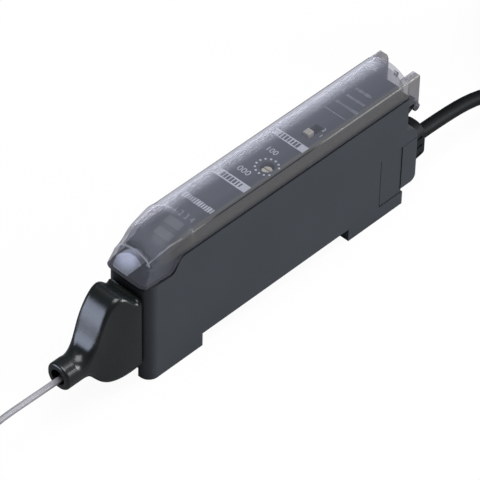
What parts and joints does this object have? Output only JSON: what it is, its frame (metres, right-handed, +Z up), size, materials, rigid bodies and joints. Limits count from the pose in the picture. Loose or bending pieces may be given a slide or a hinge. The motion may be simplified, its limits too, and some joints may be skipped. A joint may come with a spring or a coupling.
{
  "type": "inductive sensor amplifier",
  "caption": "Slim amplifier for an inductive proximity sensor: clips on a 35 mm rail, with a hinged smoked cover over a dial and a mode switch, and a lead at each end.",
  "frame": {"origin": "on the underside of the feet, under the middle between the mouth of the front boot and the end of the rear bush", "axes": "+X from the sensor lead to the output lead, +Z up from the rail, Y across the width"},
  "size_m": [0.1908, 0.0337, 0.0292],
  "materials": {
    "housing": "satin charcoal moulding with a fine grain",
    "panel": "dark grey moulding with pale print",
    "cover": "smoked clear moulding",
    "cream": "cream moulding",
    "inner_plastic": "black moulding",
    "milky_lens": "milky see-through lens",
    "dark_lens": "dark smoked lens",
    "lamp": "pale lamp body",
    "board": "green lacquered board",
    "tinned": "tinned metal",
    "chip": "black moulded package",
    "can": "bright can",
    "grey_jacket": "grey see-through jacket",
    "brown": "brown core insulation",
    "blue": "blue core insulation",
    "black": "black core insulation",
    "boot": "glossy black rubber",
    "steel": "stainless steel",
    "face": "black sensing face",
    "jacket": "dull black jacket",
    "latch": "black acetal"
  },
  "bodies": {
    "housing": {"housing_shell": "housing", "rear_cap": "housing", "control_panel": "panel", "potentiometer_body": "inner_plastic", "mode_switch_body": "inner_plastic", "indicator_lens": "milky_lens", "stability_lens": "dark_lens", "operation_led": "lamp", "stability_led": "lamp", "control_board": "board", "main_board": "board", "board_pins": "tinned", "control_chip": "chip", "voltage_regulator": "chip", "output_transistor": "chip", "smoothing_capacitor": "can", "sensor_lead": "grey_jacket", "inner_core_brown": "brown", "inner_core_blue": "blue", "inner_core_black": "black", "sensor_boot": "boot", "sensor_cable": "grey_jacket", "sensor_cable_coil": "grey_jacket", "sensor_cable_tail": "grey_jacket", "sensor_head_barrel": "steel", "sensor_head_face": "face", "output_bush": "jacket", "output_cable": "jacket", "output_cable_coil": "jacket", "end_core_brown": "brown", "end_core_blue": "blue", "end_core_black": "black", "core_tips": "tinned", "latch_spring": "steel"},
    "cover": {"dust_cover": "cover"},
    "dial": {"sensitivity_dial": "cream"},
    "mode_switch": {"mode_switch_knob": "cream"},
    "latch": {"rail_latch": "latch"}
  },
  "joints": [
    {"name": "cover_hinge", "type": "hinge", "parent": "housing", "child": "cover", "pos_m": [0.0376, 0, 0.0201], "axis": [0, 1, 0], "range_deg": [0, 115]},
    {"name": "dial_turn", "type": "hinge", "parent": "housing", "child": "dial", "pos_m": [0.00356, -0.0019, 0.025], "axis": [0, 0, 1], "range_deg": [-135, 135]},
    {"name": "mode_switch_slide", "type": "slide", "parent": "housing", "child": "mode_switch", "axis": [1, 0, 0], "range_m": [0, 0.002]},
    {"name": "rail_latch_slide", "type": "slide", "parent": "housing", "child": "latch", "axis": [1, 0, 0], "range_m": [0, 0.0016], "stiffness_N_per_m": 300, "springref_m": -0.0005, "deforming": ["latch_spring"]}
  ]
}
